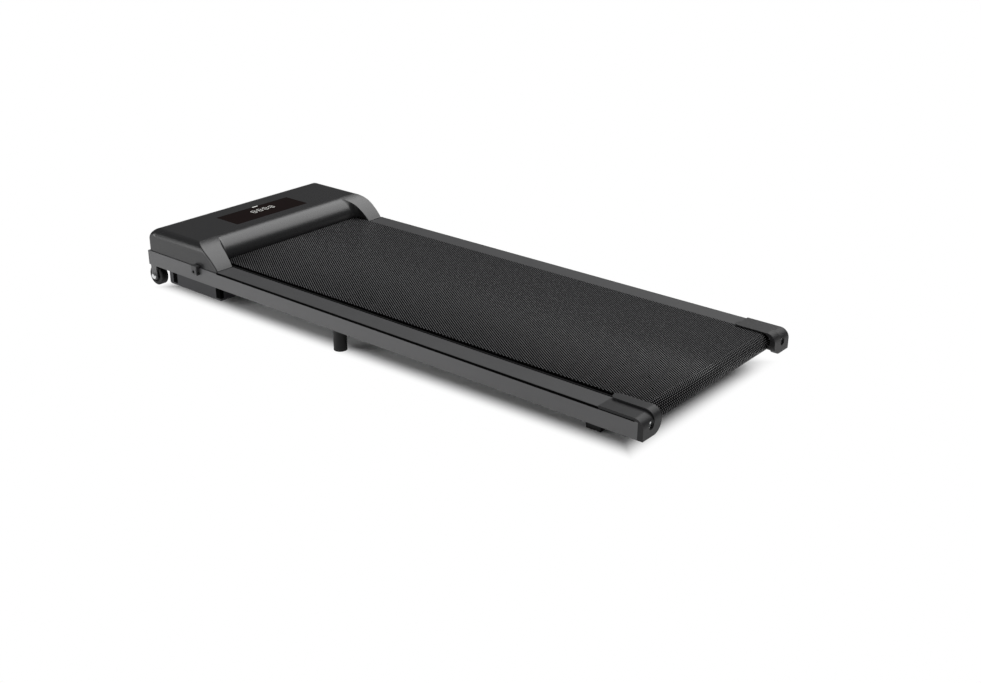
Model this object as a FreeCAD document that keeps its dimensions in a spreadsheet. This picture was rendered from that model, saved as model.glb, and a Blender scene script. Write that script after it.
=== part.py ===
# Walking pad: steel rail frame, running belt on two rollers, motor bay under a moulded hood.
# Frame: +Y forward to the hood, -X the walker's left, +Z up, z = 0 the floor. Millimetres.
import FreeCAD
import Part
import Sketcher
import math
import os
import re
from types import SimpleNamespace

SIZES = {
    # Side rails and cross members
    "frame_length": 1200,
    "rail_width": 30,
    "rail_wall": 1.5,
    "plug_depth": 12,
    "plug_flange": 1.5,
    "plug_fit": 0.1,
    "front_tube_depth": 25,
    "front_tube_inset": 28,
    "member_depth": 26,
    "member_wall": 1.5,
    "member_end_inset": 139,
    "member_belt_gap": 2.7,
    "rear_plate_depth": 36,
    "rear_plate_thickness": 4,
    "rear_plate_inset": 6,
    # Running belt, rollers and deck
    "belt_width": 370,
    "belt_thickness": 2,
    "belt_rise": 6.5,
    "belt_floor_gap": 1.9,
    "roller_radius": 15,
    "roller_overhang": 2,
    "roller_wall": 3,
    "running_gap": 0.3,
    "axle_radius": 5,
    "bearing_width": 9,
    "bearing_fit": 0.02,
    "deck_overhang": 3,
    "deck_thickness": 12,
    "deck_roller_gap": 4,
    "cushion_radius": 10,
    "cushion_thickness": 2.6,
    "deck_screw_radius": 2.5,
    "deck_screw_head_radius": 5,
    "deck_screw_inset": 14,
    "screw_gap": 0.2,
    "saddle_thickness": 2.4,
    "saddle_depth": 30,
    "take_up_travel": 8,
    "tension_bolt_radius": 4,
    "tension_bolt_length": 52,
    "tension_head_radius": 6.5,
    "tension_head_length": 7,
    "tension_socket_radius": 3,
    "tension_socket_depth": 4,
    "nut_block_length": 10,
    "nut_side_gap": 0.5,
    "nut_top_gap": 1.3,
    # Foot rails
    "foot_rail_belt_gap": 5,
    "foot_rail_rise": 3.5,
    "foot_rail_sheet": 1.2,
    "foot_rail_edge_inset": 0.5,
    "foot_rail_base_inset": 6,
    "foot_rail_base_width": 22,
    "foot_rail_lip": 9,
    # Rear end caps
    "cap_length": 82,
    "cap_plate": 10,
    "cap_rear_gap": 2.7,
    "cap_top_rise": 5.5,
    "cap_step": 4,
    "ridge_overlap": 6,
    "ridge_outside": 14,
    "cap_edge_radius": 17,
    "cap_corner_radius": 20,
    "ridge_nose_flat": 1,
    "cap_belt_gap": 1,
    "cap_wall": 2.6,
    # Moulded hood
    "hood_height": 48,
    "hood_side_inset": 2,
    "hood_front_inset": 3,
    "hood_wall": 2.5,
    "hood_edge_radius": 18,
    "hood_front_radius": 22,
    "hood_corner_radius": 3,
    "hood_belt_gap": 3,
    "skirt_gap": 1,
    "skirt_rise": 2,
    "wing_run": 67,
    "wing_lead": 47,
    "wing_bulge": 7,
    "wing_edge_radius": 2.5,
    "roll_lead": 75,
    "roll_radius": 41,
    "roll_crown": 0.1,
    "roll_end_inset": 54,
    "roll_belt_gap": 1.5,
    "roll_blend_radius": 13,
    # Display
    "display_width": 192,
    "display_depth": 67,
    "display_thickness": 2,
    "display_proud": 0.2,
    "display_ledge": 4,
    "display_rear_gap": 24,
    "board_thickness": 1.6,
    "display_fit": 0.2,
    # Drive
    "motor_radius": 35,
    "motor_length": 116,
    "drive_spacing": 76,
    "motor_tube_gap": 1.5,
    "motor_end_gap": 11,
    "motor_shaft_radius": 5,
    "end_bell_length": 12,
    "end_bell_step": 3,
    "pulley_width": 7,
    "pulley_hub_gap": 2,
    "pulley_side_gap": 1.6,
    "roller_pulley_radius": 22,
    "motor_pulley_radius": 10,
    "pulley_flange": 2.4,
    "pulley_flange_width": 0.8,
    "drive_belt_thickness": 1.8,
    "mount_plate_depth": 62,
    "mount_plate_thickness": 2.5,
    "motor_floor_gap": 1.2,
    "mount_tab_gap": 2,
    "cradle_width": 10,
    "cradle_end_gap": 6,
    "cradle_half_width": 31,
    # Controller
    "controller_width": 150,
    "controller_depth": 56,
    "controller_inset": 12,
    "post_radius": 3,
    "post_height": 5,
    "heat_sink_width": 60,
    "heat_sink_depth": 50,
    "heat_sink_base": 3,
    "heat_sink_height": 18,
    "fin_thickness": 1.6,
    "capacitor_radius": 9,
    "capacitor_height": 22,
    "capacitor_spacing": 22,
    "capacitor_inset": 27,
    "heat_sink_inset": 12,
    "post_inset": 6,
    # Belly pan
    "pan_bottom": 10,
    "pan_wall": 2,
    "pan_side_inset": 9,
    "pan_plate_gap": 9,
    "pan_length": 158,
    "pan_corner_radius": 6,
    "vent_width": 4,
    "vent_length": 34,
    "vent_pitch": 14,
    "bumper_length": 12,
    "bumper_front_inset": 12,
    "bumper_return": 8,
    "bumper_reach": 26,
    "bumper_proud": 0.6,
    # Hood clips
    "clip_length": 17,
    "clip_bottom_rise": 16,
    "clip_top_rise": 35,
    "clip_reach": 9,
    "clip_front_inset": 147,
    "clip_radius": 2.5,
    "clip_pocket": 4.5,
    "clip_wall": 1.6,
    "clip_hole_radius": 3.2,
    "clip_hole_depth": 5,
    "clip_screw_radius": 2.8,
    # Wheels and feet
    "wheel_radius": 20.5,
    "wheel_rail_gap": 2,
    "wheel_width": 16,
    "wheel_inset": 12,
    "wheel_bore_radius": 4.3,
    "wheel_rim_radius": 13,
    "wheel_dish": 3,
    "wheel_side_gap": 0.8,
    "ear_thickness": 3,
    "ear_width": 17,
    "ear_below_axle": 8.5,
    "wheel_bolt_radius": 4,
    "wheel_bolt_head_radius": 6.5,
    "wheel_bolt_head": 4,
    "mid_foot_radius": 12.5,
    "mid_foot_inset": 537,
    "rear_foot_setback": 127,
    "rear_foot_inset": 64,
    "rear_foot_length": 34,
    "rear_foot_width": 24,
    "rear_foot_taper": 3,
    # Mains side
    "inlet_width": 27.5,
    "inlet_height": 20,
    "inlet_depth": 20,
    "inlet_flange": 4,
    "inlet_flange_thickness": 1.6,
    "inlet_wall": 2.2,
    "inlet_centre_x": 120,
    "inlet_centre_drop": 4,
    "pin_width": 2,
    "pin_height": 4,
    "pin_length": 12,
    "pin_spacing": 7,
    "rocker_spacing": 40,
    "rocker_width": 13,
    "rocker_height": 19,
    "rocker_depth": 12,
    "rocker_bezel": 1.5,
    "rocker_tilt": 10,
    "rocker_gap": 0.5,
    "reset_spacing": 32,
    "reset_radius": 4,
    "reset_barrel_radius": 7,
    "reset_depth": 16,
    "reset_proud": 4,
    "reset_travel": 2.5,
    # One overrun for all cuts
    "overrun": 5,
}

# Levels and places that several pieces share, worked out from the sizes
DERIVED = {
    # Heights
    "rail_bottom": "2 * wheel_radius + wheel_rail_gap",
    "belt_radius": "roller_radius + running_gap + belt_thickness",
    "rail_height": "2 * belt_radius - belt_rise + belt_floor_gap",
    "rail_top": "rail_bottom + rail_height",
    "belt_top": "rail_top + belt_rise",
    "axle_z": "belt_top - belt_radius",
    "deck_top": "belt_top - belt_thickness - running_gap",
    "deck_bottom": "deck_top - deck_thickness",
    "member_top": "deck_bottom - cushion_thickness",
    "member_height": "member_top - axle_z + roller_radius + running_gap - member_belt_gap",
    "hood_top": "rail_top + hood_height",
    "roll_z": "hood_top - roll_radius + roll_crown",
    "plate_top": "axle_z - motor_radius - mount_plate_thickness - motor_floor_gap",
    "board_top": "plate_top + post_height + board_thickness",
    "inlet_z": "rail_top - inlet_centre_drop",
    # Distances from the middle line
    "belt_edge": "belt_width / 2",
    "roller_end": "belt_edge + roller_overhang",
    "pulley_x": "roller_end + pulley_hub_gap",
    "rail_in": "pulley_x + pulley_width + pulley_side_gap + saddle_thickness",
    "rail_out": "rail_in + rail_width",
    "bolt_x": "rail_in + rail_wall + nut_side_gap + nut_block_length / 2",
    "nut_block_size": "2 * (rail_top - rail_wall - nut_top_gap - axle_z)",
    "deck_edge": "belt_edge + deck_overhang",
    "foot_rail_in": "belt_edge + foot_rail_belt_gap",
    "cap_in": "belt_edge - ridge_overlap",
    "ridge_out": "belt_edge + ridge_outside",
    "motor_end": "pulley_x - motor_end_gap",
    "motor_start": "motor_end - motor_length",
    "controller_x": "controller_inset - rail_in",
    "rocker_x": "inlet_centre_x - rocker_spacing",
    "reset_x": "rocker_x - reset_spacing",
    # Places along the pad, from the front end of the rails
    "front_y": "(frame_length - wheel_radius + wheel_inset) / 2",
    "rear_y": "front_y - frame_length",
    "tube_rear_y": "front_y - front_tube_inset - front_tube_depth",
    "motor_y": "tube_rear_y - motor_tube_gap - mount_plate_thickness - motor_radius",
    "front_axle_y": "motor_y - drive_spacing",
    "rear_axle_y": "rear_y + cap_plate + cap_rear_gap + belt_radius",
    "deck_rear": "rear_axle_y + roller_radius + take_up_travel + deck_roller_gap",
    "deck_front": "front_axle_y - roller_radius - deck_roller_gap",
    "deck_middle": "(deck_front + deck_rear) / 2",
    "member_spacing": "(deck_front - deck_rear) / 2 - member_end_inset",
    "bolt_head_y": "rear_y + cap_plate - tension_head_length",
    "cap_front_y": "rear_y + cap_length",
    "wing_base_y": "front_axle_y - wing_lead",
    "wing_top_y": "wing_base_y + wing_run",
    "roll_y": "wing_base_y + roll_lead",
    "lens_rear_y": "wing_top_y + display_rear_gap",
    "hood_front": "front_y - hood_front_inset",
    "controller_y": "motor_y - controller_depth / 2",
    "pan_front_y": "motor_y + mount_plate_depth / 2 + pan_plate_gap",
    "wheel_y": "front_y - wheel_inset",
}

document = FreeCAD.newDocument("walking_pad")


def filled_sheet(name, cells):
    filled = document.addObject("Spreadsheet::Sheet", name)
    for row, (alias, content) in enumerate(cells.items(), start=1):
        filled.set(f"A{row}", alias)
        filled.set(f"B{row}", content)
        filled.setAlias(f"B{row}", alias)
    document.recompute()
    return filled


def bound(formula, derived_home="derived."):
    """Writes a formula of aliases as an expression on the two sheets."""
    def qualified(word):
        return (derived_home if word.group() in DERIVED else "sizes.") + word.group()

    return re.sub(r"[a-z]\w*", qualified, formula)


sizes = filled_sheet("sizes", {alias: str(size) for alias, size in SIZES.items()})
derived = filled_sheet("derived", {alias: "=" + bound(formula, "") for alias, formula in DERIVED.items()})
s = SimpleNamespace(
    **{alias: sizes.get(alias) for alias in SIZES}, **{alias: derived.get(alias) for alias in DERIVED})

SIDES = {"left": -1, "right": 1}
ABOUT_X = FreeCAD.Rotation(FreeCAD.Vector(0, 1, 0), 90)
ABOUT_Y = FreeCAD.Rotation(FreeCAD.Vector(1, 0, 0), -90)
UPRIGHT = FreeCAD.Rotation(FreeCAD.Vector(1, 0, 0), 90)
nodes = []


def keep(piece, label):
    piece.Label = label
    nodes.append(piece)
    return piece


def place(piece, x="0", y="0", z="0"):
    for axis, formula in (("x", x), ("y", y), ("z", z)):
        piece.setExpression(f"Placement.Base.{axis}", bound(formula))
    return piece


def block(name, x, y, z):
    """Box from three (start, length) pairs of formulas."""
    box = document.addObject("Part::Box", name)
    for edge, (start, length) in (("Length", x), ("Width", y), ("Height", z)):
        box.setExpression(edge, bound(length))
    return place(box, x[0], y[0], z[0])


def rod(name, radius, length, x="0", y="0", z="0", turn=None):
    """Cylinder that runs up, or along the axis that turn gives it."""
    cylinder = document.addObject("Part::Cylinder", name)
    cylinder.setExpression("Radius", bound(radius))
    cylinder.setExpression("Height", bound(length))
    if turn:
        cylinder.Placement.Rotation = turn
    return place(cylinder, x, y, z)


def across(side, inner, outer):
    """Start and length in X of a span between two distances from the middle line."""
    return (f"{inner}" if side > 0 else f"-({outer})"), f"({outer}) - ({inner})"


def joined(name, pieces):
    fuse = document.addObject("Part::MultiFuse", name)
    fuse.Shapes = pieces
    return fuse


def grouped(name, pieces):
    group = document.addObject("Part::Compound", name)
    group.Links = pieces
    return group


def cut(name, base, *tools):
    result = document.addObject("Part::Cut", name)
    result.Base = base
    result.Tool = tools[0] if len(tools) == 1 else joined(name + "_tools", list(tools))
    return result


def solid(name, shape):
    feature = document.addObject("Part::Feature", name)
    feature.Shape = shape
    return feature


def new_sketch(body, plane, name):
    sketch = body.newObject("Sketcher::SketchObject", name)
    origin = [item for item in body.Origin.OriginFeatures if item.Role == plane]
    sketch.AttachmentSupport = [(origin[0], "")]
    sketch.MapMode = "FlatFace"
    return sketch


def draw_rectangle(sketch, width, height):
    """Rectangle centred on the sketch origin, with bound width and height."""
    first = sketch.GeometryCount
    corners = [FreeCAD.Vector(x, y, 0) for x, y in ((-1, -1), (1, -1), (1, 1), (-1, 1))]
    for start, end in zip(corners, corners[1:] + corners[:1]):
        sketch.addGeometry(Part.LineSegment(start, end))
    for step in range(4):
        sketch.addConstraint(Sketcher.Constraint("Coincident", first + step, 2, first + (step + 1) % 4, 1))
        direction = "Vertical" if step % 2 else "Horizontal"
        sketch.addConstraint(Sketcher.Constraint(direction, first + step))
    sketch.addConstraint(Sketcher.Constraint("Symmetric", first, 1, first + 2, 1, -1, 1))
    for kind, line, formula in (("DistanceX", first, width), ("DistanceY", first + 1, height)):
        index = sketch.addConstraint(Sketcher.Constraint(kind, line, 1, line, 2, 2))
        sketch.setExpression(f"Constraints[{index}]", bound(formula))


def draw_circle(sketch, radius):
    circle = sketch.addGeometry(Part.Circle(FreeCAD.Vector(0, 0, 0), FreeCAD.Vector(0, 0, 1), 1))
    sketch.addConstraint(Sketcher.Constraint("Coincident", circle, 3, -1, 1))
    index = sketch.addConstraint(Sketcher.Constraint("Radius", circle, 1))
    sketch.setExpression(f"Constraints[{index}]", bound(radius))


def tube(name, plane, width, height, wall, length, x="0", y="0", z="0"):
    """Rectangular tube padded from a sketch; on XZ it runs back along -Y, on YZ along +X."""
    body = document.addObject("PartDesign::Body", name)
    sketch = new_sketch(body, plane, name + "_section")
    draw_rectangle(sketch, width, height)
    draw_rectangle(sketch, f"{width} - 2 * {wall}", f"{height} - 2 * {wall}")
    pad = body.newObject("PartDesign::Pad", name + "_pad")
    pad.Profile = sketch
    pad.setExpression("Length", bound(length))
    return place(body, x, y, z)


def pipe(name, outer, inner, length, x="0", y="0", z="0"):
    """Round tube padded along +X from two circles."""
    body = document.addObject("PartDesign::Body", name)
    sketch = new_sketch(body, "YZ_Plane", name + "_section")
    draw_circle(sketch, outer)
    draw_circle(sketch, inner)
    pad = body.newObject("PartDesign::Pad", name + "_pad")
    pad.Profile = sketch
    pad.setExpression("Length", bound(length))
    return place(body, x, y, z)


# Side rails: open tubes whose inner walls are slotted at the rear for the rear axle
for side_name, side in SIDES.items():
    rail = tube(
        side_name + "_rail_tube", "XZ_Plane", "rail_width", "rail_height", "rail_wall",
        "front_y - rear_y - cap_plate", x=f"{side} * (rail_out - rail_width / 2)", y="front_y",
        z="rail_bottom + rail_height / 2")
    slot_length = "rear_axle_y - rear_y - cap_plate + take_up_travel + axle_radius + running_gap"
    slot = block(
        side_name + "_axle_slot", across(side, "rail_in - overrun", "rail_in + rail_wall + overrun / 2"),
        ("rear_y + cap_plate - overrun", f"{slot_length} + overrun"),
        ("axle_z - axle_radius - running_gap", "2 * (axle_radius + running_gap)"))
    keep(cut(side_name + "_slotted_rail", rail, slot), side_name + "_side_rail")

# Plastic plugs that close the front ends of the rails
plugs = []
for side_name, side in SIDES.items():
    plug_flange = block(
        side_name + "_plug_flange", across(side, "rail_in", "rail_out"), ("front_y", "plug_flange"),
        ("rail_bottom", "rail_height"))
    plug_core = block(
        side_name + "_plug_core",
        across(side, "rail_in + rail_wall + plug_fit", "rail_out - rail_wall - plug_fit"),
        ("front_y - plug_depth", "plug_depth"),
        ("rail_bottom + rail_wall + plug_fit", "rail_height - 2 * (rail_wall + plug_fit)"))
    plugs.append(joined(side_name + "_plug", [plug_flange, plug_core]))
keep(grouped("plug_pair", plugs), "front_rail_plugs")

# Cross members between the rails
front_tube = tube(
    "front_tube", "YZ_Plane", "front_tube_depth", "rail_height", "rail_wall", "2 * rail_in",
    x="-rail_in", y="tube_rear_y + front_tube_depth / 2",
    z="rail_bottom + rail_height / 2")
keep(front_tube, "front_cross_tube")

MEMBER_YS = [f"(deck_middle + {step} * member_spacing)" for step in (-1, 0, 1)]
SCREW_XS = [f"{side} * (deck_edge - deck_screw_inset)" for side in (-1, 1)]
SCREW_PLACES = [(x, y) for x in SCREW_XS for y in MEMBER_YS]
for number, member_y in enumerate(MEMBER_YS, start=1):
    member_tube = tube(
        f"member_{number}", "YZ_Plane", "member_depth", "member_height", "member_wall", "2 * rail_in",
        x="-rail_in", y=member_y, z="member_top - member_height / 2")
    member_holes = [
        rod(f"member_{number}_hole_{step}", "deck_screw_radius + screw_gap", "member_wall + 2 * screw_gap",
            x, member_y, "member_top - member_wall - screw_gap")
        for step, x in enumerate(SCREW_XS)]
    keep(cut(f"drilled_member_{number}", member_tube, *member_holes), f"deck_cross_member_{number}")

keep(block(
    "rear_plate", ("rear_plate_inset - rail_out", "2 * (rail_out - rear_plate_inset)"),
    ("rear_y + rear_foot_setback - rear_plate_depth / 2", "rear_plate_depth"),
    ("rail_bottom - rear_plate_thickness", "rear_plate_thickness")), "rear_foot_plate")

# Deck on six rubber cushions, held by countersunk screws into the cross members
deck_board = block(
    "deck_board", ("-deck_edge", "2 * deck_edge"), ("deck_rear", "deck_front - deck_rear"),
    ("deck_bottom", "deck_thickness"))
deck_holes = []
cushions = []
deck_screws = []
for number, (x, y) in enumerate(SCREW_PLACES, start=1):
    deck_holes.append(rod(
        f"deck_hole_{number}", "deck_screw_radius + screw_gap", "deck_thickness", x, y, "deck_bottom"))
    sink = document.addObject("Part::Cone", f"deck_sink_{number}")
    head = document.addObject("Part::Cone", f"deck_screw_head_{number}")
    for cone, gap in ((sink, " + screw_gap"), (head, "")):
        cone.setExpression("Radius1", bound("deck_screw_radius" + gap))
        cone.setExpression("Radius2", bound("deck_screw_head_radius" + gap))
        cone.setExpression("Height", bound("deck_screw_head_radius - deck_screw_radius"))
        place(cone, x, y, "deck_top - deck_screw_head_radius + deck_screw_radius")
    deck_holes.append(sink)
    ring = rod(f"cushion_ring_{number}", "cushion_radius", "cushion_thickness", x, y, "member_top")
    bore = rod(
        f"cushion_bore_{number}", "deck_screw_radius + screw_gap", "cushion_thickness", x, y, "member_top")
    cushions.append(cut(f"cushion_{number}", ring, bore))
    shank_bottom = "(member_top - 2 * member_wall)"
    shank = rod(
        f"deck_screw_shank_{number}", "deck_screw_radius",
        f"deck_top - {shank_bottom} - deck_screw_head_radius + deck_screw_radius", x, y, shank_bottom)
    deck_screws.append(joined(f"deck_screw_{number}", [shank, head]))
keep(cut("drilled_deck", deck_board, *deck_holes), "running_deck")
keep(grouped("cushion_set", cushions), "deck_cushions")
keep(grouped("deck_screw_set", deck_screws), "deck_screws")


# Belts: closed loops of two runs and two bends, cut from one flat outline
def loop_face(rear, rear_radius, front, front_radius, height, x):
    """Face in the YZ plane round two circles at one height, joined by their outer tangents."""
    lean = math.acos((front_radius - rear_radius) / (front - rear))

    def point(centre, radius, angle):
        return FreeCAD.Vector(x, centre + radius * math.cos(angle), height + radius * math.sin(angle))

    turn = math.pi - lean
    front_bend = [point(front, front_radius, angle) for angle in (turn, 0, -turn)]
    rear_bend = [point(rear, rear_radius, angle) for angle in (-turn, math.pi, turn)]
    edges = [
        Part.LineSegment(rear_bend[-1], front_bend[0]), Part.Arc(*front_bend),
        Part.LineSegment(front_bend[-1], rear_bend[0]), Part.Arc(*rear_bend)]
    return Part.Face(Part.Wire([edge.toShape() for edge in edges]))


def belt_loop(rear, rear_radius, front, front_radius, height, thickness, x, width):
    outer = loop_face(rear, rear_radius + thickness, front, front_radius + thickness, height, x)
    inner = loop_face(rear, rear_radius, front, front_radius, height, x)
    return outer.cut(inner).extrude(FreeCAD.Vector(width, 0, 0))


keep(solid("belt", belt_loop(
    s.rear_axle_y, s.roller_radius + s.running_gap, s.front_axle_y, s.roller_radius + s.running_gap,
    s.axle_z, s.belt_thickness, -s.belt_edge, s.belt_width)), "running_belt")
keep(solid("poly_v_belt", belt_loop(
    s.front_axle_y, s.roller_pulley_radius + s.running_gap, s.motor_y, s.motor_pulley_radius + s.running_gap,
    s.axle_z, s.drive_belt_thickness, s.pulley_x + s.pulley_flange_width + s.running_gap,
    s.pulley_width - 2 * (s.pulley_flange_width + s.running_gap))), "drive_belt")


# Rollers: tubes on ball bearings that turn on fixed axles
def roller_set(end, axle_y):
    bore = "(roller_radius - roller_wall)"
    keep(pipe(
        end + "_tube", "roller_radius", bore, "2 * roller_end", x="-roller_end", y=axle_y, z="axle_z"),
        end + "_roller")
    rings = [
        pipe(f"{end}_bearing_{name}", f"{bore} - bearing_fit", "axle_radius + bearing_fit", "bearing_width",
             x=start, y=axle_y, z="axle_z")
        for name, start in (("a", "-roller_end"), ("b", "roller_end - bearing_width"))]
    keep(grouped(end + "_bearing_pair", rings), end + "_roller_bearings")


roller_set("front", "front_axle_y")
roller_set("rear", "rear_axle_y")
keep(rod(
    "front_axle_bar", "axle_radius", "2 * (rail_in - running_gap)", "running_gap - rail_in",
    "front_axle_y", "axle_z", ABOUT_X), "front_axle")

# Front axle saddles: plates on the rails, open at the top where the axle drops in
for side_name, side in SIDES.items():
    plate = block(
        side_name + "_saddle_plate", across(side, "rail_in - saddle_thickness", "rail_in"),
        ("front_axle_y - saddle_depth / 2", "saddle_depth"), ("rail_bottom", "rail_height"))
    saddle_bore = rod(
        side_name + "_saddle_bore", "axle_radius + bearing_fit", "2 * rail_width",
        f"{side} * rail_in - rail_width", "front_axle_y", "axle_z", ABOUT_X)
    saddle_mouth = block(
        side_name + "_saddle_mouth", across(side, "rail_in - overrun", "rail_in + overrun"),
        ("front_axle_y - axle_radius - bearing_fit", "2 * (axle_radius + bearing_fit)"),
        ("axle_z", "rail_height"))
    keep(cut(side_name + "_saddle", plate, saddle_bore, saddle_mouth), side_name + "_axle_saddle")

# Rear axle: a bar with a threaded block at each end, drawn along the rails by the tension bolts
rear_bar = rod(
    "rear_axle_bar", "axle_radius", "2 * bolt_x", "-bolt_x", "rear_axle_y", "axle_z", ABOUT_X)
nut_blocks = []
bolt_bores = []
for side_name, side in SIDES.items():
    nut_blocks.append(block(
        side_name + "_nut_block",
        across(side, "bolt_x - nut_block_length / 2", "bolt_x + nut_block_length / 2"),
        ("rear_axle_y - nut_block_size / 2", "nut_block_size"),
        ("axle_z - nut_block_size / 2", "nut_block_size")))
    bolt_bores.append(rod(
        side_name + "_bolt_bore", "tension_bolt_radius + running_gap", "2 * nut_block_size", f"{side} * bolt_x",
        "rear_axle_y - nut_block_size", "axle_z", ABOUT_Y))
keep(cut("rear_axle_bored", joined("rear_axle_blank", [rear_bar] + nut_blocks), *bolt_bores), "rear_axle")

for side_name, side in SIDES.items():
    side_x = f"{side} * bolt_x"
    bolt_head = rod(
        side_name + "_bolt_head", "tension_head_radius", "tension_head_length",
        side_x, "bolt_head_y", "axle_z", ABOUT_Y)
    bolt_shank = rod(
        side_name + "_bolt_shank", "tension_bolt_radius", "tension_bolt_length",
        side_x, "bolt_head_y", "axle_z", ABOUT_Y)
    hex_socket = document.addObject("Part::Prism", side_name + "_bolt_socket")
    hex_socket.Polygon = 6
    hex_socket.setExpression("Circumradius", bound("tension_socket_radius"))
    hex_socket.setExpression("Height", bound("tension_socket_depth + overrun"))
    hex_socket.Placement.Rotation = ABOUT_Y
    place(hex_socket, side_x, "bolt_head_y - overrun", "axle_z")
    bolt_blank = joined(side_name + "_bolt_blank", [bolt_head, bolt_shank])
    keep(cut(side_name + "_bolt", bolt_blank, hex_socket), side_name + "_tension_bolt")


def face_of(edges):
    return Part.Face(Part.Wire(Part.__sortEdges__([edge.toShape() for edge in edges])))


def polygon_face(points):
    return Part.Face(Part.makePolygon(points + points[:1]))


def mirrored(shape, side):
    """The right-hand shape, or its mirror image for the left."""
    return shape if side > 0 else shape.mirror(FreeCAD.Vector(0, 0, 0), FreeCAD.Vector(1, 0, 0))


# Foot rails: extruded covers whose outer lip overhangs the rail by a shadow gap
def foot_rail():
    top = s.rail_top + s.foot_rail_rise
    under = top - s.foot_rail_sheet
    lip_outer = s.rail_out - s.foot_rail_edge_inset
    lip_inner = s.foot_rail_in
    base_outer = s.rail_out - s.foot_rail_base_inset
    base_inner = base_outer - s.foot_rail_base_width
    corners = [
        (lip_outer, top), (lip_outer, under), (base_outer, under), (base_outer, s.rail_top),
        (base_inner, s.rail_top), (base_inner, under), (lip_inner + s.foot_rail_sheet, under),
        (lip_inner + s.foot_rail_sheet, top - s.foot_rail_lip), (lip_inner, top - s.foot_rail_lip),
        (lip_inner, top)]
    start = s.cap_front_y + s.running_gap
    section = polygon_face([FreeCAD.Vector(x, start, z) for x, z in corners])
    return section.extrude(FreeCAD.Vector(0, s.wing_base_y - s.running_gap - start, 0))


# Rear end caps: a flat over the rail, a ridge over the belt edge and a plate behind the bend
def cap_profile(rear, front, bottom, top, radius, x):
    """Side outline with a round upper rear edge."""
    def at(y, z):
        return FreeCAD.Vector(x, y, z)

    lean = radius * math.sqrt(0.5)
    return face_of([
        Part.LineSegment(at(front, top), at(front, bottom)),
        Part.LineSegment(at(front, bottom), at(rear, bottom)),
        Part.LineSegment(at(rear, bottom), at(rear, top - radius)),
        Part.Arc(at(rear, top - radius), at(rear + radius - lean, top - radius + lean), at(rear + radius, top)),
        Part.LineSegment(at(rear + radius, top), at(front, top))])


def end_cap():
    inner_x = s.cap_in
    ridge_width = s.ridge_out - s.cap_in
    plate_y = s.rear_y + s.cap_plate
    flat_top = s.rail_top + s.cap_top_rise
    ridge_top = flat_top + s.cap_step
    belt_ceiling = s.belt_top + s.cap_belt_gap
    ridge = cap_profile(s.rear_y, s.cap_front_y, s.rail_bottom, ridge_top, s.cap_edge_radius, inner_x)
    ridge = ridge.extrude(FreeCAD.Vector(ridge_width, 0, 0))
    nose = [
        edge for edge in ridge.Edges
        if edge.BoundBox.XLength + edge.BoundBox.YLength < s.running_gap and edge.BoundBox.YMin > plate_y]
    ridge = ridge.makeFillet((ridge_width - s.ridge_nose_flat) / 2, nose)
    flat = cap_profile(s.rear_y, s.cap_front_y, s.rail_bottom, flat_top, s.cap_edge_radius, s.ridge_out)
    flat = flat.extrude(FreeCAD.Vector(s.rail_out - s.ridge_out, 0, 0))
    belt_space = cap_profile(
        plate_y, s.cap_front_y + s.overrun, s.rail_bottom - s.overrun, belt_ceiling,
        s.cap_edge_radius - s.cap_wall, inner_x - s.overrun)
    belt_space = belt_space.extrude(FreeCAD.Vector(ridge_width - s.cap_wall + s.overrun, 0, 0))
    rail_space = Part.makeBox(
        s.rail_out - inner_x + 2 * s.overrun, s.cap_length, s.rail_top - s.rail_bottom + s.overrun,
        FreeCAD.Vector(inner_x - s.overrun, plate_y, s.rail_bottom - s.overrun))
    bolt_hole = Part.makeCylinder(
        s.tension_head_radius + s.running_gap, s.cap_plate + 2 * s.overrun,
        FreeCAD.Vector(s.bolt_x, s.rear_y - s.overrun, s.axle_z), FreeCAD.Vector(0, 1, 0))
    cap = ridge.fuse(flat).removeSplitter().cut(belt_space.fuse(rail_space)).cut(bolt_hole)
    return cap.common(cap_silhouette(inner_x, ridge_top))


def cap_silhouette(inner_x, top):
    """The cap seen from behind, with its round lower inner corner."""
    radius = s.cap_corner_radius
    lean = radius * math.sqrt(0.5)

    def at(x, z):
        return FreeCAD.Vector(x, s.rear_y, z)

    outline = face_of([
        Part.LineSegment(at(inner_x, top), at(inner_x, s.rail_bottom + radius)),
        Part.Arc(
            at(inner_x, s.rail_bottom + radius), at(inner_x + radius - lean, s.rail_bottom + radius - lean),
            at(inner_x + radius, s.rail_bottom)),
        Part.LineSegment(at(inner_x + radius, s.rail_bottom), at(s.rail_out, s.rail_bottom)),
        Part.LineSegment(at(s.rail_out, s.rail_bottom), at(s.rail_out, top)),
        Part.LineSegment(at(s.rail_out, top), at(inner_x, top))])
    return outline.extrude(FreeCAD.Vector(0, s.cap_length, 0))


for side_name, side in SIDES.items():
    keep(solid(side_name + "_foot_cover", mirrored(foot_rail(), side)), side_name + "_foot_rail")
    keep(solid(side_name + "_cap", mirrored(end_cap(), side)), "rear_end_cap_" + side_name)

# Hood: one moulding, its side outline swept across, rounded along the sides and recessed for the roll
wing_drop = s.hood_height - s.foot_rail_rise
wing_chord = math.hypot(s.wing_run, wing_drop)
wing_radius = (wing_chord ** 2 / 4 + s.wing_bulge ** 2) / (2 * s.wing_bulge)
wing_centre_y = s.wing_base_y + s.wing_run / 2 + (wing_radius - s.wing_bulge) * wing_drop / wing_chord
wing_centre_z = s.hood_top - wing_drop / 2 - (wing_radius - s.wing_bulge) * s.wing_run / wing_chord
roll_bottom = s.belt_top + s.roll_belt_gap


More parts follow.
